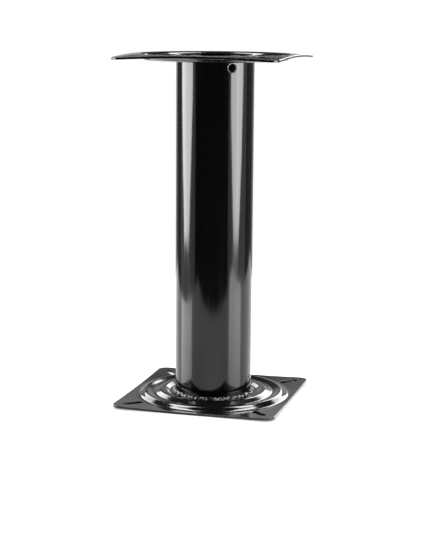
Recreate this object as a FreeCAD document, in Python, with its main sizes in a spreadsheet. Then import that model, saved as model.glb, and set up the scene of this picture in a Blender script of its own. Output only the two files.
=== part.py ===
"""Fixed boat seat pedestal: a round steel tube with a stamped square plate welded on each end.

Frame: millimetres, Z up, origin at the centre of the base, on the surface that it stands on.
X and Y run along the plates' diagonals, through the bolt slots, and the vent hole near the top
of the tube faces -Y. Both plates are the same stamping: its rim lies on the deck or under the
seat, and its middle is pressed away from there, up to the tube, in concentric rings.
"""
import FreeCAD, Part
import math
import os

import Sketcher
from FreeCAD import Placement, Rotation, Vector

# Driving sizes in millimetres, degrees or counts, each with a cell of its own on the sheet.
SIZES = {
    # tube
    "overall_height": 327.0,
    "tube_diameter": 73.0,
    "tube_wall": 2.0,
    "tube_proud": 1.6,
    "vent_diameter": 8.0,
    "vent_drop": 11.8,
    "vent_turn": 4.3,
    # stamping: the widths of its rings from the tube outwards, and their heights over the rim
    "sheet": 2.0,
    "hole_clearance": 0.15,
    "seat_width": 5.5,
    "step_width": 3.6,
    "plateau_width": 4.75,
    "inner_wall_width": 7.4,
    "valley_width": 8.25,
    "outer_wall_width": 4.7,
    "land_width": 5.1,
    "edge_width": 1.7,
    "seat_height": 2.0,
    "plateau_height": 4.6,
    "groove_height": 1.7,
    "crest_height": 4.5,
    "ring_bend": 5.0,
    "step_bend": 2.2,
    "flare_bend": 25.0,
    "corner_radius": 9.0,
    "base_corner_lift": 1.1,
    "top_corner_lift": 2.3,
    # bolt slots on the diagonals
    "slot_count": 4,
    "slot_length": 20.0,
    "slot_width": 7.0,
    "slot_margin": 5.4,
    # weld beads: how far each reaches along the plate and along the tube
    "base_weld_foot": 3.8,
    "base_weld_leg": 3.4,
    "top_weld_foot": 3.0,
    "top_weld_leg": 1.4,
}

# Radii and levels that follow. A plate's zero level is the underside of its flat rim.
TUBE_RADIUS = "(sizes.tube_diameter / 2)"
HOLE_RADIUS = f"({TUBE_RADIUS} + sizes.hole_clearance)"
SEAT_RADIUS = f"({HOLE_RADIUS} + sizes.seat_width)"
STEP_RADIUS = f"({SEAT_RADIUS} + sizes.step_width)"
INNER_CREST_RADIUS = f"({STEP_RADIUS} + sizes.plateau_width)"
GROOVE_RADIUS = f"({INNER_CREST_RADIUS} + sizes.inner_wall_width)"
OUTER_CREST_RADIUS = f"({GROOVE_RADIUS} + sizes.valley_width)"
RIM_RADIUS = f"({OUTER_CREST_RADIUS} + sizes.outer_wall_width)"
LAND_RADIUS = f"({RIM_RADIUS} + sizes.land_width)"
HALF_PLATE = f"({LAND_RADIUS} + sizes.edge_width)"
CORNER_REACH = f"({HALF_PLATE} * sqrt(2) - sizes.corner_radius * (sqrt(2) - 1))"
BLANK_RADIUS = f"({HALF_PLATE} * 1.5)"
SLOT_CENTRE = f"({RIM_RADIUS} + sizes.slot_margin + sizes.slot_length / 2)"

RIM_TOP = "sizes.sheet"
SEAT_TOP = "(sizes.sheet + sizes.seat_height)"
PLATEAU_TOP = "(sizes.sheet + sizes.plateau_height)"
GROOVE_TOP = "(sizes.sheet + sizes.groove_height)"
CREST_TOP = "(sizes.sheet + sizes.crest_height)"

TUBE_FOOT = "sizes.seat_height"
TOP_SEAT = "(sizes.overall_height - sizes.seat_height)"
TUBE_LENGTH = f"({TOP_SEAT} + sizes.tube_proud - {TUBE_FOOT})"
VENT_HEIGHT = f"(sizes.overall_height - sizes.vent_drop - {TUBE_FOOT})"

# Handles of a sketch: its origin and axes, and the points of a line or an arc.
ORIGIN = -1
ACROSS_AXIS = -1
UP_AXIS = -2
START = 1
END = 2
CENTRE = 3

QUARTER = math.pi / 2

doc = FreeCAD.newDocument("boat_seat_pedestal")


def fill_sheet():
    """One row for each size: its name, and beside it the value that has this name as alias."""
    sheet = doc.addObject("Spreadsheet::Sheet", "sizes")
    for row, (name, value) in enumerate(SIZES.items(), start=1):
        sheet.set(f"A{row}", name)
        sheet.set(f"B{row}", str(value))
        sheet.setAlias(f"B{row}", name)
    doc.recompute()
    return sheet


def size(expression):
    """The number that an expression on the sheet gives."""
    return float(sheet.evalExpression(expression))


def new_body(name):
    """An empty body whose label names its file."""
    body = doc.addObject("PartDesign::Body", name)
    body.Label = name
    return body


def sketch_on(body, plane, name, turn=0):
    """An empty sketch on one of the body's origin planes, turned by degrees in that plane."""
    sketch = body.newObject("Sketcher::SketchObject", f"{body.Name}_{name}")
    support = next(part for part in body.Origin.OriginFeatures if part.Role == plane)
    sketch.AttachmentSupport = [(support, "")]
    sketch.MapMode = "FlatFace"
    sketch.AttachmentOffset = Placement(Vector(), Rotation(Vector(0, 0, 1), turn))
    return sketch


def tie(sketch, kind, *where):
    """Add a constraint that has no size."""
    sketch.addConstraint(Sketcher.Constraint(kind, *where))


def hold(sketch, kind, *where_and_expression):
    """Add a dimension, driven by the expression that comes last."""
    *where, expression = where_and_expression
    index = sketch.addConstraint(Sketcher.Constraint(kind, *where, size(expression)))
    sketch.setExpression(f"Constraints[{index}]", expression)


def place(sketch, shape, point, across, up):
    """Hold a point of a line or arc at a place given by two expressions; "0" is on the axis."""
    for kind, axis, expression in (("DistanceX", UP_AXIS, across), ("DistanceY", ACROSS_AXIS, up)):
        if expression == "0":
            tie(sketch, "PointOnObject", shape, point, axis)
        else:
            hold(sketch, kind, ORIGIN, START, shape, point, expression)


def line(sketch, start, end):
    return sketch.addGeometry(Part.LineSegment(start, end))


def arc(sketch, centre, radius, from_angle, to_angle):
    whole = Part.Circle(centre, Vector(0, 0, 1), radius)
    return sketch.addGeometry(Part.ArcOfCircle(whole, from_angle, to_angle))


def circle(sketch, radius, up="0"):
    """A circle about a point of the sketch's upright axis."""
    centre = Vector(0, size(up), 0)
    ring = sketch.addGeometry(Part.Circle(centre, Vector(0, 0, 1), size(radius)))
    place(sketch, ring, CENTRE, "0", up)
    hold(sketch, "Radius", ring, radius)


def round_corner(sketch, side, radius):
    """Round the corner where a line starts, and keep the corner as a point that holds its place."""
    sketch.fillet(side, START, size(radius), True, True)
    rounding = max(i for i, g in enumerate(sketch.Geometry) if isinstance(g, Part.ArcOfCircle))
    hold(sketch, "Radius", rounding, radius)


def outline(sketch, corners, bend):
    """A closed outline of straight lines through corners given as (across, up), all rounded."""
    points = [Vector(size(across), size(up), 0) for across, up in corners]
    lines = [line(sketch, *ends) for ends in zip(points, points[1:] + points[:1])]
    for side, following in zip(lines, lines[1:] + lines[:1]):
        tie(sketch, "Coincident", side, END, following, START)
    for side, (across, up) in zip(lines, corners):
        place(sketch, side, START, across, up)
    for side in lines:
        round_corner(sketch, side, bend)


def chain(sketch, points):
    """Straight lines from point to point, joined end to end."""
    lines = [line(sketch, *ends) for ends in zip(points, points[1:])]
    for before, after in zip(lines, lines[1:]):
        tie(sketch, "Coincident", before, END, after, START)
    return lines


def points_below(points, depth):
    """The same path moved down its own normals by a depth, with its two ends kept upright."""
    runs = [(end - start).normalize() for start, end in zip(points, points[1:])]
    downs = [Vector(run.y, -run.x, 0) for run in runs]
    lowered = [points[0] + Vector(0, depth / downs[0].y, 0)]
    for point, before, after in zip(points[1:], downs, downs[1:]):
        mitre = (before + after).normalize()
        lowered.append(point + mitre * (depth / mitre.dot(before)))
    lowered.append(points[-1] + Vector(0, depth / downs[-1].y, 0))
    return lowered


def sheet_section(sketch, corners, thickness):
    """A bent sheet in section: its upper side runs through corners (across, up, bend radius).

    The under side keeps parallel to it, and each bend turns about one centre on both sides.
    """
    points = [Vector(size(across), size(up), 0) for across, up, _ in corners]
    lower_points = points_below(points, size(thickness))
    upper = chain(sketch, points)
    lower = chain(sketch, lower_points)
    for above, below in zip(upper, lower):
        tie(sketch, "Parallel", above, below)
        hold(sketch, "Distance", below, START, above, thickness)
    for spot, point in ((0, START), (-1, END)):
        closing = line(sketch, points[spot], lower_points[spot])
        tie(sketch, "Coincident", closing, START, upper[spot], point)
        tie(sketch, "Coincident", closing, END, lower[spot], point)
        tie(sketch, "Vertical", closing)
    for above, (across, up, _) in zip(upper, corners):
        place(sketch, above, START, across, up)
    place(sketch, upper[-1], END, *corners[-1][:2])

    steps = [end - start for start, end in zip(points, points[1:])]
    for index, (_, _, bend) in enumerate(corners[1:-1], start=1):
        turns_up = steps[index - 1].cross(steps[index]).z > 0
        round_corner(sketch, upper[index], bend)
        round_corner(sketch, lower[index], f"({bend} {'+' if turns_up else '-'} {thickness})")


def slot(sketch, middle, length, width):
    """A round-ended slot along the sketch's X axis, its middle at a distance from the origin."""
    reach = f"({length} - {width}) / 2"
    near_centre, far_centre = f"({middle} - {reach})", f"({middle} + {reach})"
    near_x, far_x, half = size(near_centre), size(far_centre), size(width) / 2
    lower = line(sketch, Vector(near_x, -half, 0), Vector(far_x, -half, 0))
    far = arc(sketch, Vector(far_x, 0, 0), half, -QUARTER, QUARTER)
    upper = line(sketch, Vector(far_x, half, 0), Vector(near_x, half, 0))
    near = arc(sketch, Vector(near_x, 0, 0), half, QUARTER, 3 * QUARTER)
    loop = [lower, far, upper, near]
    for side, following in zip(loop, loop[1:] + loop[:1]):
        tie(sketch, "Tangent", side, END, following, START)
    tie(sketch, "Equal", near, far)
    place(sketch, near, CENTRE, near_centre, "0")
    place(sketch, far, CENTRE, far_centre, "0")
    hold(sketch, "Radius", far, f"{width} / 2")


def pocket_through(body, sketch, name, symmetric=True):
    """Cut a sketch's outline through the whole body, both ways or only along its normal."""
    before = body.Shape.Volume
    cut = body.newObject("PartDesign::Pocket", f"{body.Name}_{name}")
    cut.Profile = sketch
    cut.Type = "ThroughAll"
    cut.SideType = "Symmetric" if symmetric else "One side"
    cut.Reversed = not symmetric
    doc.recompute()
    if cut.Shape.Volume > before - 1:
        raise RuntimeError(f"{cut.Name} cuts nothing")
    return cut


def build_plate(name, corner_lift):
    """One stamping, rim down: pressed rings, square outline, and a bolt slot on each diagonal."""
    body = new_body(name)
    rise = f"{corner_lift} / ({CORNER_REACH} - {LAND_RADIUS}) * ({BLANK_RADIUS} - {LAND_RADIUS})"
    rings = sketch_on(body, "XZ_Plane", "rings")
    sheet_section(rings, [
        (HOLE_RADIUS, SEAT_TOP, None),
        (SEAT_RADIUS, SEAT_TOP, "sizes.step_bend"),
        (STEP_RADIUS, PLATEAU_TOP, "sizes.step_bend"),
        (INNER_CREST_RADIUS, PLATEAU_TOP, "sizes.ring_bend"),
        (GROOVE_RADIUS, GROOVE_TOP, "sizes.ring_bend"),
        (OUTER_CREST_RADIUS, CREST_TOP, "sizes.ring_bend"),
        (RIM_RADIUS, RIM_TOP, "sizes.ring_bend"),
        (LAND_RADIUS, RIM_TOP, "sizes.flare_bend"),
        (BLANK_RADIUS, f"({RIM_TOP} + {rise})", None),
    ], "sizes.sheet")
    pressing = body.newObject("PartDesign::Revolution", f"{name}_pressing")
    pressing.Profile = rings
    pressing.ReferenceAxis = (rings, ["V_Axis"])
    pressing.Angle = 360
    doc.recompute()

    trim = sketch_on(body, "XY_Plane", "trim", turn=45)
    circle(trim, f"({BLANK_RADIUS} + sizes.sheet)")
    low = f"(-{HALF_PLATE})"
    square = [(low, low), (HALF_PLATE, low), (HALF_PLATE, HALF_PLATE), (low, HALF_PLATE)]
    outline(trim, square, "sizes.corner_radius")
    pocket_through(body, trim, "outline")

    opening = sketch_on(body, "XY_Plane", "slot")
    slot(opening, SLOT_CENTRE, "sizes.slot_length", "sizes.slot_width")
    cut = pocket_through(body, opening, "bolt_slot")
    pattern = body.newObject("PartDesign::PolarPattern", f"{name}_bolt_slots")
    pattern.Originals = [cut]
    pattern.Axis = (opening, ["N_Axis"])
    pattern.Angle = 360
    pattern.setExpression("Occurrences", "sizes.slot_count")
    body.Tip = pattern
    return body


def build_tube():
    """The post: a straight tube with one vent hole through the wall that faces -Y."""
    body = new_body("post_tube")
    section = sketch_on(body, "XY_Plane", "section")
    circle(section, TUBE_RADIUS)
    circle(section, f"({TUBE_RADIUS} - sizes.tube_wall)")
    pad = body.newObject("PartDesign::Pad", "post_tube_length")
    pad.Profile = section
    pad.setExpression("Length", TUBE_LENGTH)
    doc.recompute()

    vent = sketch_on(body, "XZ_Plane", "vent")
    circle(vent, "sizes.vent_diameter / 2", up=VENT_HEIGHT)
    pocket_through(body, vent, "vent_hole", symmetric=False)
    return body


def build_weld(name, foot, leg):
    """A bead round the tube: flat on the plate and on the tube, with a bulging outer side."""
    body = new_body(name)
    profile = sketch_on(body, "XZ_Plane", "bead")
    toe = f"({TUBE_RADIUS} + {foot})"
    root = Vector(size(TUBE_RADIUS), 0, 0)
    toe_point = Vector(size(toe), 0, 0)
    top_point = root + Vector(0, size(leg), 0)
    radius = size(foot)
    chord = top_point - toe_point
    inwards = Vector(-chord.y, chord.x, 0).normalize()
    depth = math.sqrt(radius**2 - (chord.Length / 2) ** 2)
    centre = (toe_point + top_point) / 2 + inwards * depth
    angles = [math.atan2(point.y - centre.y, point.x - centre.x) for point in (toe_point, top_point)]

    under = line(profile, root, toe_point)
    cap = arc(profile, centre, radius, *angles)
    side = line(profile, top_point, root)
    loop = [under, cap, side]
    for edge, following in zip(loop, loop[1:] + loop[:1]):
        tie(profile, "Coincident", edge, END, following, START)
    place(profile, under, START, TUBE_RADIUS, "0")
    place(profile, under, END, toe, "0")
    place(profile, side, START, TUBE_RADIUS, leg)
    hold(profile, "Radius", cap, foot)

    bead = body.newObject("PartDesign::Revolution", f"{name}_ring")
    bead.Profile = profile
    bead.ReferenceAxis = (profile, ["V_Axis"])
    bead.Angle = 360
    return body


def stand(body, height, turn_axis=Vector(0, 0, 1), turn="0"):
    """Put a body at a height on the Z axis, turned by an expression in degrees."""
    body.Placement = Placement(Vector(), Rotation(turn_axis, 1))
    body.setExpression("Placement.Base.z", height)
    body.setExpression("Placement.Rotation.Angle", f"({turn}) * 1 deg")


def check_and_write(bodies):
    """Stop on any failed feature or unsound shape, then write one file for each body."""
    doc.recompute()
    failed = [part.Name for part in doc.Objects if {"Invalid", "Error"} & set(part.State)]
    if failed:
        raise RuntimeError(f"failed features: {failed}")
    for body in bodies:
        if body.Shape.isNull() or not body.Shape.isValid() or len(body.Shape.Solids) != 1:
            raise RuntimeError(f"unsound shape: {body.Label}")
    os.makedirs("parts", exist_ok=True)
    for body in bodies:
        body.Shape.exportStep(f"parts/{body.Label}.step")
        box = body.Shape.optimalBoundingBox()
        print(f"{body.Label}: {body.Shape.Volume:.1f} mm3, z {box.ZMin:.3f} to {box.ZMax:.3f}")


sheet = fill_sheet()

base_plate = build_plate("base_plate", "sizes.base_corner_lift")

top_plate = build_plate("top_plate", "sizes.top_corner_lift")
stand(top_plate, "sizes.overall_height", Vector(1, 0, 0), "180")

post_tube = build_tube()
stand(post_tube, TUBE_FOOT, turn="-sizes.vent_turn")

base_weld = build_weld("base_weld", "sizes.base_weld_foot", "sizes.base_weld_leg")
stand(base_weld, SEAT_TOP)

top_weld = build_weld("top_weld", "sizes.top_weld_foot", "sizes.top_weld_leg")
stand(top_weld, TOP_SEAT)

check_and_write([base_plate, post_tube, top_plate, base_weld, top_weld])
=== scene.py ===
"""Looks, light and camera for the boat seat pedestal: gloss black paint over steel and rough welds.

Metres, in the part's own frame: Z up from the deck, X and Y through the bolt slots. A heading is
in degrees, clockwise from +Y as seen from above. Colours are linear.
"""

import bisect
import math
import random

import bmesh
import bpy
from mathutils import Matrix, Vector, noise


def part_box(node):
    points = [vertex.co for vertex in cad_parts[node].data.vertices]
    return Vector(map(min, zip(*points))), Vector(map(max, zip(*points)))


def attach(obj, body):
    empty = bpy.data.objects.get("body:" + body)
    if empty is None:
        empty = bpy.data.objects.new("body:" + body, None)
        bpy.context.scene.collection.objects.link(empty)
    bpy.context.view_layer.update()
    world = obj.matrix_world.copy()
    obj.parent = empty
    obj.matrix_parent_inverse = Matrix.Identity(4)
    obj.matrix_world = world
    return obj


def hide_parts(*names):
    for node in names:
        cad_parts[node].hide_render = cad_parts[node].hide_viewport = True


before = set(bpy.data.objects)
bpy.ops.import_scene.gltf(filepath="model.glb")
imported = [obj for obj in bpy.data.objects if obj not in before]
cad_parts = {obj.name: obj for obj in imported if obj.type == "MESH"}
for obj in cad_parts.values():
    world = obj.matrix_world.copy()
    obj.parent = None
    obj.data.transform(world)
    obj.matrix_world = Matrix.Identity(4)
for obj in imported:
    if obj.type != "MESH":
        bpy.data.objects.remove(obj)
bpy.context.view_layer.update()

# The photograph's camera, solved from the plates' corners and the tube
CAMERA_PLACE = Vector((-0.67755, -1.20392, 0.37355))
CAMERA_HEADING = 29.59
CAMERA_DIP = 10.30
CAMERA_ROLL = 0.456
CAMERA_LENS = 98.02
SENSOR_WIDTH = 36.0

# Sizes taken from the part
TUBE_RADIUS = (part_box("post_tube")[1].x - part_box("post_tube")[0].x) / 2
PLATE_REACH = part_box("base_plate")[1].x
SEAT_PLATE_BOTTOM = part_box("top_plate")[0].z

# How far the paint rounds an edge, and how deep below the tube's surface its dull inside starts
TUBE_ROUNDING = 0.0014
PLATE_ROUNDING = 0.0006
SKIN = 0.0003

# Paint and the metal under it, with painted highlights on rims and painted glints on welds
TUBE_BLACK = (0.0015, 0.0015, 0.0016)
TUBE_STREAK = (0.005, 0.005, 0.0053)
# Painted highlight on the vent hole's rounded rim
VENT_RIM_HIGHLIGHT = (0.55, 0.55, 0.55)
PLATE_BLACK = (0.001, 0.001, 0.001)
PLATE_GRAIN = (0.009, 0.009, 0.0088)
# Painted highlights on the plates' rounded top edges, dim on the seat plate
BASE_EDGE_HIGHLIGHT = (0.30, 0.30, 0.30)
TOP_EDGE_HIGHLIGHT = (0.01, 0.01, 0.01)
CHIP = (0.45, 0.44, 0.42)
BEAD_BLACK = (0.006, 0.006, 0.006)
# Painted glints on the weld beads, dim on the top bead
BASE_BEAD_GLINT = (0.85, 0.85, 0.85)
TOP_BEAD_GLINT = (0.02, 0.02, 0.02)

# Weld beads: points round and up each, the turn from one ripple to the next, how high a ripple
# may stand, how far a ripple's middle lags behind its sides, and how far the bead sinks in
BEAD_STEPS = 1500
BEAD_ROWS = 20
FULL_TURN = 2 * math.pi
RIPPLE_TURN = (0.045, 0.085)
RIPPLE_LIFT = (0.4, 1.0)
RIPPLE_LAG = 0.03
SINK_IN_TUBE = 0.0002
SINK_IN_PLATE = 0.0001


# Steps that the materials share
def new_material(name):
    """A material, its nodes and links, and its surface shader."""
    material = bpy.data.materials.new(name)
    material.use_nodes = True
    nodes = material.node_tree.nodes
    return material, nodes, material.node_tree.links, nodes["Principled BSDF"]


def add_noise(nodes, links, place, scale, detail=2.0, roughness=0.5):
    """A noise texture, with its scale in bumps per metre."""
    texture = nodes.new("ShaderNodeTexNoise")
    texture.inputs["Scale"].default_value = scale
    texture.inputs["Detail"].default_value = detail
    texture.inputs["Roughness"].default_value = roughness
    links.new(place, texture.inputs["Vector"])
    return texture.outputs["Fac"]


def add_bump(nodes, links, height, depth, normal=None):
    """A bump from a height of 0 to 1 that stands for a depth in metres."""
    bump = nodes.new("ShaderNodeBump")
    bump.inputs["Strength"].default_value = 1.0
    bump.inputs["Distance"].default_value = depth
    links.new(height, bump.inputs["Height"])
    if normal:
        links.new(normal, bump.inputs["Normal"])
    return bump.outputs["Normal"]


def add_range(nodes, links, value, source, target=(0.0, 1.0)):
    """A value spread from one range to another, and held at the ends."""
    spread = nodes.new("ShaderNodeMapRange")
    spread.inputs["From Min"].default_value = source[0]
    spread.inputs["From Max"].default_value = source[1]
    spread.inputs["To Min"].default_value = target[0]
    spread.inputs["To Max"].default_value = target[1]
    links.new(value, spread.inputs["Value"])
    return spread.outputs["Result"]


def add_math(nodes, links, operation, first, *others):
    """A sum, product or other step of arithmetic, taken through two values or more."""
    result = first
    for other in others:
        step = nodes.new("ShaderNodeMath")
        step.operation = operation
        links.new(result, step.inputs[0])
        links.new(other, step.inputs[1])
        result = step.outputs["Value"]
    return result


def add_vector_math(nodes, links, operation, first, second=None):
    """A step of arithmetic on a vector, and on a second that is fixed or comes from a node."""
    step = nodes.new("ShaderNodeVectorMath")
    step.operation = operation
    links.new(first, step.inputs[0])
    if isinstance(second, bpy.types.NodeSocket):
        links.new(second, step.inputs[1])
    elif second is not None:
        step.inputs[1].default_value = second
    return step.outputs["Value" if operation in ("DOT_PRODUCT", "LENGTH") else "Vector"]


def add_part(nodes, links, vector, axis):
    """One coordinate of a vector."""
    apart = nodes.new("ShaderNodeSeparateXYZ")
    links.new(vector, apart.inputs["Vector"])
    return apart.outputs[axis]


def add_tint(nodes, links, share, dark, light):
    """A colour between two others, by a share from 0 to 1; the dark one may come from a node."""
    blend = nodes.new("ShaderNodeMix")
    blend.data_type = "RGBA"
    links.new(share, blend.inputs["Factor"])
    if isinstance(dark, tuple):
        blend.inputs["A"].default_value = (*dark, 1.0)
    else:
        links.new(dark, blend.inputs["A"])
    blend.inputs["B"].default_value = (*light, 1.0)
    return blend.outputs["Result"]


def add_edge(nodes, radius):
    """Normals that round each sharp edge, as thick paint does."""
    edge = nodes.new("ShaderNodeBevel")
    edge.samples = 8
    edge.inputs["Radius"].default_value = radius
    return edge.outputs["Normal"]


def add_near_edge(nodes, links, edge):
    """1 where the paint rounds an edge, and 0 on flat ground, by the cosine of the normal's tilt."""
    normal = nodes.new("ShaderNodeNewGeometry").outputs["Normal"]
    flatness = add_vector_math(nodes, links, "DOT_PRODUCT", edge, normal)
    return add_range(nodes, links, flatness, (0.90, 0.99), (1.0, 0.0))


# The tube's paint
def add_inside(nodes, links, place, radius):
    """1 inside a radius from the upright axis, and 0 outside it."""
    level = add_vector_math(nodes, links, "MULTIPLY", place, (1, 1, 0))
    distance = add_vector_math(nodes, links, "LENGTH", level)
    return add_range(nodes, links, distance, (radius - 0.0001, radius), (1.0, 0.0))


def add_vent_rim_highlight(nodes, links, place, edge, inside):
    """1 on the vent hole's rounded rim, where a highlight is painted, and 0 elsewhere."""
    limit = SEAT_PLATE_BOTTOM + 0.001
    height = add_part(nodes, links, place, "Z")
    below_plate = add_range(nodes, links, height, (limit, limit + 0.0005), (1.0, 0.0))
    outside = add_range(nodes, links, inside, (0.0, 1.0), (1.0, 0.0))
    near_edge = add_near_edge(nodes, links, edge)
    return add_math(nodes, links, "MULTIPLY", below_plate, near_edge, outside)


def tube_finish():
    """Gloss black with faint streaks along the tube, painted highlight on the vent rim, dull inside.
    """
    material, nodes, links, shader = new_material("tube_black")
    place = nodes.new("ShaderNodeTexCoord").outputs["Object"]
    drawn_out = add_vector_math(nodes, links, "MULTIPLY", place, (1, 1, 0.01))
    streaks = add_noise(nodes, links, drawn_out, scale=420.0, detail=3.0, roughness=0.6)
    waves = add_noise(nodes, links, place, scale=22.0)
    edge = add_edge(nodes, TUBE_ROUNDING)
    normal = add_bump(nodes, links, waves, depth=0.00006, normal=edge)
    normal = add_bump(nodes, links, streaks, depth=0.00004, normal=normal)
    links.new(normal, shader.inputs["Normal"])

    inside = add_inside(nodes, links, place, TUBE_RADIUS - SKIN)
    gloss = add_range(nodes, links, streaks, (0.3, 0.7), (0.07, 0.13))
    links.new(add_math(nodes, links, "MAXIMUM", gloss, inside), shader.inputs["Roughness"])

    share = add_range(nodes, links, streaks, (0.35, 0.75))
    paint = add_tint(nodes, links, share, TUBE_BLACK, TUBE_STREAK)
    # A painted highlight lightens the vent hole's rounded rim
    rim = add_vent_rim_highlight(nodes, links, place, edge, inside)
    links.new(add_tint(nodes, links, rim, paint, VENT_RIM_HIGHLIGHT), shader.inputs["Base Color"])
    return material


# The plates' paint
def add_edge_highlight(nodes, links, place, edge, near_edge):
    """1 along the top of the plate's outer edge, where a highlight is painted, and 0 elsewhere."""
    start = PLATE_REACH - 0.004
    sides = add_vector_math(nodes, links, "ABSOLUTE", place)
    reach = add_vector_math(nodes, links, "DOT_PRODUCT", sides, (1, 1, 0))
    outer = add_range(nodes, links, reach, (start, start + 0.0005))
    upper = add_range(nodes, links, add_part(nodes, links, edge, "Z"), (0.2, 0.5))
    return add_math(nodes, links, "MULTIPLY", near_edge, outer, upper)


def add_chips(nodes, links, place, near_edge):
    """1 on small chips in the paint along the edges at the plate's front corner, and 0 elsewhere."""
    spots = add_noise(nodes, links, place, scale=450.0, detail=2.0, roughness=0.7)
    chips = add_range(nodes, links, spots, (0.48, 0.54))
    corner = add_range(nodes, links, add_part(nodes, links, place, "Y"), (-0.075, -0.050), (1.0, 0.0))
    return add_math(nodes, links, "MULTIPLY", near_edge, chips, corner)


def plate_finish(name, edge_highlight_colour):
    """Gloss black over stamped sheet: fine grain, rounded edges, painted edge highlight, and chips.
    """
    material, nodes, links, shader = new_material(name)
    place = nodes.new("ShaderNodeTexCoord").outputs["Object"]
    edge = add_edge(nodes, PLATE_ROUNDING)
    grain = add_noise(nodes, links, place, scale=800.0, detail=3.0, roughness=0.65)
    waves = add_noise(nodes, links, place, scale=22.0)
    normal = add_bump(nodes, links, waves, depth=0.00004, normal=edge)
    normal = add_bump(nodes, links, grain, depth=0.000016, normal=normal)
    links.new(normal, shader.inputs["Normal"])

    smudge = add_noise(nodes, links, place, scale=60.0, detail=4.0)
    gloss = add_range(nodes, links, smudge, (0.35, 0.7), (0.09, 0.15))
    links.new(gloss, shader.inputs["Roughness"])

    share = add_range(nodes, links, grain, (0.35, 0.65))
    paint = add_tint(nodes, links, share, PLATE_BLACK, PLATE_GRAIN)
    near_edge = add_near_edge(nodes, links, edge)
    # A painted highlight along the plate's rounded outer top edge
    paint = add_tint(nodes, links, add_edge_highlight(nodes, links, place, edge, near_edge), paint, edge_highlight_colour)
    paint = add_tint(nodes, links, add_chips(nodes, links, place, near_edge), paint, CHIP)
    links.new(paint, shader.inputs["Base Color"])
    return material


# The weld beads and their paint
def weld_finish(name, glint_colour):
    """Thin paint over a rough bead, with glints painted in spots and curls of another colour."""
    material, nodes, links, shader = new_material(name)
    place = nodes.new("ShaderNodeTexCoord").outputs["Object"]
    lumps = add_noise(nodes, links, place, scale=450.0, detail=1.0)
    links.new(add_bump(nodes, links, lumps, depth=0.0004), shader.inputs["Normal"])
    curls = add_noise(nodes, links, place, scale=380.0, detail=3.0, roughness=0.7)
    # Painted glints in spots and curls
    painted_glints = add_range(nodes, links, curls, (0.50, 0.60))
    links.new(add_tint(nodes, links, painted_glints, BEAD_BLACK, glint_colour), shader.inputs["Base Color"])
    gloss = add_range(nodes, links, painted_glints, (0.0, 1.0), (0.22, 0.12))
    links.new(gloss, shader.inputs["Roughness"])
    return material


def bead_section(foot, leg, turn):
    """A point of the bead's bulging section, from its toe on the plate (0) to the tube (1)."""
    angle = turn * math.pi / 2
    bulge = 0.12 * math.sin(2 * angle)
    return foot * (math.cos(angle) + bulge * 0.6), leg * (math.sin(angle) + bulge)


def lumpiness(place, seed):
    """A share of the section by which 4 mm, 1.6 mm and 0.8 mm lumps swell the bead at a place."""
    offset = Vector((seed, 0, 0))
    broad = noise.noise(place / 0.004 + offset)
    middle = noise.noise(place / 0.0016 + offset)
    fine = noise.noise(place / 0.0008 + offset)
    return 0.12 * broad + 0.32 * middle + 0.10 * fine


def lay_ripples(rng):
    """The angles at which the overlapping ripples start, with the full turn last, and their lifts."""
    starts = []
    angle = 0.0
    while angle < FULL_TURN:
        starts.append(angle)
        angle += rng.uniform(*RIPPLE_TURN)
    starts.append(FULL_TURN)
    return starts, [rng.uniform(*RIPPLE_LIFT) for _ in starts]


def ripple_height(starts, lifts, angle):
    """How high the ripple at an angle stands: it is full at its start and falls to its end."""
    index = min(bisect.bisect_right(starts, angle), len(starts) - 1) - 1
    share = (angle - starts[index]) / (starts[index + 1] - starts[index])
    return lifts[index] * (1 - share) ** 0.7


def weld_bead(name, node, seed):
    """A hand-laid bead that stands for a node: overlapping ripples, uneven in width and height."""
    low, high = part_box(node)
    leg = high.z - low.z
    foot = high.x - TUBE_RADIUS
    starts, lifts = lay_ripples(random.Random(seed))

    mesh = bmesh.new()
    rings = []
    for step in range(BEAD_STEPS):
        around = FULL_TURN * step / BEAD_STEPS
        across, along = math.cos(around), math.sin(around)
        ring = []
        for row in range(BEAD_ROWS + 1):
            turn = row / BEAD_ROWS
            lag = (around - RIPPLE_LAG * math.sin(math.pi * turn)) % FULL_TURN
            out, up = bead_section(foot, leg, turn)
            toe = TUBE_RADIUS + out
            lumps = lumpiness(Vector((toe * across, toe * along, up)), seed)
            swell = min(0.62 + 0.24 * ripple_height(starts, lifts, lag) + lumps, 1.0)
            radius = TUBE_RADIUS - SINK_IN_TUBE + out * (swell if row < BEAD_ROWS else 1.0)
            height = low.z - SINK_IN_PLATE + up * (swell if row else 1.0)
            ring.append(mesh.verts.new((radius * across, radius * along, height)))
        rings.append(ring)
    for ring, following in zip(rings, rings[1:] + rings[:1]):
        for row in range(BEAD_ROWS):
            mesh.faces.new((ring[row], following[row], following[row + 1], ring[row + 1]))
    bmesh.ops.recalc_face_normals(mesh, faces=mesh.faces)

    data = bpy.data.meshes.new(name)
    mesh.to_mesh(data)
    mesh.free()
    data.shade_smooth()
    piece = bpy.data.objects.new(name, data)
    bpy.context.scene.collection.objects.link(piece)
    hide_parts(node)
    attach(piece, "root")
    return piece


def dress(piece, material):
    """Give a piece one material all over."""
    piece.data.materials.clear()
    piece.data.materials.append(material)


# Lights
def heading(degrees):
    """A level direction."""
    angle = math.radians(degrees)
    return Vector((math.sin(angle), math.cos(angle), 0))


def flat_piece(name, corners):
    """A piece of one flat face."""
    data = bpy.data.meshes.new(name)
    data.from_pydata(corners, [], [range(len(corners))])
    piece = bpy.data.objects.new(name, data)
    bpy.context.scene.collection.objects.link(piece)
    return piece


def rectangle(width, height):
    """An outline about the light's middle."""
    x, y = width / 2, height / 2
    return [(-x, -y), (x, -y), (x, y), (-x, y)]


def tub(width, base, low, knee, top):
    """An outline that narrows below its knee, with its heights from the light's middle."""
    x = width / 2
    return [(-base / 2, low), (base / 2, low), (x, knee), (x, top), (-x, top), (-x, knee)]


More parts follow.
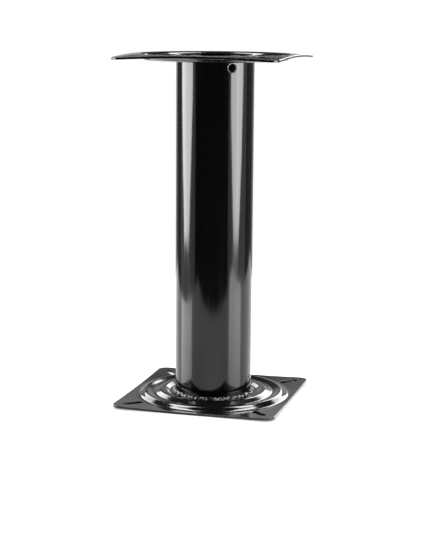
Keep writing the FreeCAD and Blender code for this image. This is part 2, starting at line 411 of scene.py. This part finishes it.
def light_finish(name, brightness, folds):
    """A glow that upright folds in the light's cloth make uneven by a share."""
    material, nodes, links, shader = new_material(name)
    shader.inputs["Base Color"].default_value = (0, 0, 0, 1)
    shader.inputs["Emission Color"].default_value = (1, 1, 1, 1)
    place = nodes.new("ShaderNodeTexCoord").outputs["Object"]
    across = add_vector_math(nodes, links, "MULTIPLY", place, (1, 0, 0))
    cloth = add_noise(nodes, links, across, scale=9.0)
    uneven = (brightness * (1 - folds), brightness * (1 + folds))
    glow = add_range(nodes, links, cloth, (0.35, 0.65), uneven)
    links.new(glow, shader.inputs["Emission Strength"])
    return material


def softbox(name, degrees, level, distance, outline, brightness, folds=0.0):
    """A soft light that faces the object, at a heading, an angle above level and a distance."""
    box = flat_piece(name, [(x, y, 0) for x, y in outline])
    rise = math.radians(level)
    outwards = heading(degrees) * math.cos(rise) + Vector((0, 0, math.sin(rise)))
    box.location = outwards * distance
    box.rotation_euler = (-outwards).to_track_quat("Z", "Y").to_euler()
    box.visible_camera = False
    dress(box, light_finish(name, brightness, folds))


def light_sides():
    """The two stripes of the tube, their soft skirts, and the thin glare at its right."""
    toward_camera = CAMERA_HEADING + 180
    level = 5.4
    left_outline = tub(width=1.21, base=0.50, low=-0.23, knee=0.054, top=0.26)
    right_outline = tub(width=1.18, base=0.49, low=-0.23, knee=0.054, top=0.26)
    softbox("left_softbox", toward_camera + 90.5, level, 1.5, left_outline, 11.0, folds=0.2)
    softbox("left_spill", toward_camera + 88.0, level, 1.6, rectangle(1.77, 1.0), 0.6)
    softbox("right_softbox", toward_camera - 68.0, level, 1.5, right_outline, 10.0, folds=0.2)
    softbox("right_glare", toward_camera - 72.0, level, 1.48, rectangle(0.09, 0.45), 13.0)
    softbox("right_spill", toward_camera - 73.0, level, 1.6, rectangle(2.0, 1.0), 0.6)


def light_rings():
    """The highlights of the plates' rings, and the grey card that their flat parts mirror."""
    rear, high = 1.31, 3.0
    high_outline = rectangle(1.80, 0.86)
    softbox("rear_left_softbox", CAMERA_HEADING - 36.0, 27.0, rear, rectangle(0.78, 0.42), 6.0)
    softbox("rear_right_softbox", CAMERA_HEADING + 31.0, 24.5, rear, rectangle(0.98, 0.46), 7.0)
    softbox("high_left_softbox", CAMERA_HEADING - 58.0, 63.5, high, high_outline, 16.0)
    softbox("high_right_softbox", CAMERA_HEADING + 57.0, 63.5, high, high_outline, 16.0)
    softbox("backdrop", CAMERA_HEADING, 0.0, 1.9, rectangle(2.7, 1.12), 0.5)


# Floor, room and camera
def plain_finish(name, grey, roughness, glow=0.0):
    """One grey all over, which may also glow."""
    material, _, _, shader = new_material(name)
    shader.inputs["Base Color"].default_value = (grey, grey, grey, 1.0)
    shader.inputs["Roughness"].default_value = roughness
    shader.inputs["Emission Color"].default_value = (1, 1, 1, 1)
    shader.inputs["Emission Strength"].default_value = glow
    return material


def make_floor(front, back, left, right):
    """A glossy white table top, with its edges' distances from the tube as the camera sees them."""
    ahead, aside = heading(CAMERA_HEADING), heading(CAMERA_HEADING + 90)
    outline = [(-left, -front), (right, -front), (right, back), (-left, back)]
    floor = flat_piece("studio_floor", [ahead * y + aside * x for x, y in outline])
    dress(floor, plain_finish("studio_white", grey=0.8, roughness=0.12, glow=0.2))


def make_shade(tip, reach, back, trim, height):
    """A dark card on the floor under the plate: painted shadow that keeps the front bolt slots dark.

    Its front tip and its side corners, which lie a little back, follow the plate's diagonals, and
    a slanting trim takes off its rear.
    """
    rear = reach - trim
    outline = [(-reach, back), (0, -tip), (reach, back), (rear, back + trim), (-rear, back + trim)]
    card = flat_piece("floor_shade", [(x, y, height) for x, y in outline])
    dress(card, plain_finish("shade_grey", grey=0.01, roughness=0.8))


def make_world(front, side):
    """White all round for the camera; in reflections a dim room, dark overhead and in front."""
    world = bpy.data.worlds.new("studio")
    bpy.context.scene.world = world
    world.use_nodes = True
    nodes, links = world.node_tree.nodes, world.node_tree.links
    nodes.clear()
    direction = nodes.new("ShaderNodeTexCoord").outputs["Generated"]
    facing = add_vector_math(nodes, links, "DOT_PRODUCT", direction, heading(CAMERA_HEADING))
    room = add_range(nodes, links, facing, (-0.7, 0.3), (front, side))
    height = add_part(nodes, links, direction, "Z")
    overhead = add_range(nodes, links, height, (0.35, 0.7), (1.0, 0.15))
    dim = nodes.new("ShaderNodeBackground")
    dim.inputs["Color"].default_value = (1, 1, 1, 1)
    links.new(add_math(nodes, links, "MULTIPLY", room, overhead), dim.inputs["Strength"])
    white = nodes.new("ShaderNodeBackground")
    white.inputs["Color"].default_value = (1, 1, 1, 1)
    choose = nodes.new("ShaderNodeMixShader")
    links.new(nodes.new("ShaderNodeLightPath").outputs["Is Camera Ray"], choose.inputs["Fac"])
    links.new(dim.outputs["Background"], choose.inputs[1])
    links.new(white.outputs["Background"], choose.inputs[2])
    links.new(choose.outputs["Shader"], nodes.new("ShaderNodeOutputWorld").inputs["Surface"])


def make_camera():
    """The photograph's camera."""
    camera = bpy.data.objects.new("camera", bpy.data.cameras.new("camera"))
    camera.data.lens = CAMERA_LENS
    camera.data.sensor_width = SENSOR_WIDTH
    turn = Matrix.Rotation(math.radians(-CAMERA_HEADING), 4, "Z")
    tilt = Matrix.Rotation(math.radians(90 - CAMERA_DIP), 4, "X")
    roll = Matrix.Rotation(math.radians(CAMERA_ROLL), 4, "Z")
    camera.matrix_world = Matrix.Translation(CAMERA_PLACE) @ turn @ tilt @ roll
    bpy.context.scene.collection.objects.link(camera)
    bpy.context.scene.camera = camera


# The scene
dress(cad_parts["post_tube"], tube_finish())
dress(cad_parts["base_plate"], plate_finish("base_plate_black", BASE_EDGE_HIGHLIGHT))
dress(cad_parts["top_plate"], plate_finish("top_plate_black", TOP_EDGE_HIGHLIGHT))
dress(weld_bead("base_bead", "base_weld", 3), weld_finish("base_weld_grey", BASE_BEAD_GLINT))
dress(weld_bead("top_bead", "top_weld", 8), weld_finish("top_weld_black", TOP_BEAD_GLINT))

light_sides()
light_rings()
make_floor(front=0.45, back=0.62, left=0.50, right=0.63)
# A painted shadow under the plate's front half
make_shade(tip=0.095, reach=0.094, back=0.004, trim=0.020, height=0.00002)
make_world(front=0.02, side=0.13)
make_camera()
bpy.context.scene.view_settings.view_transform = "Standard"
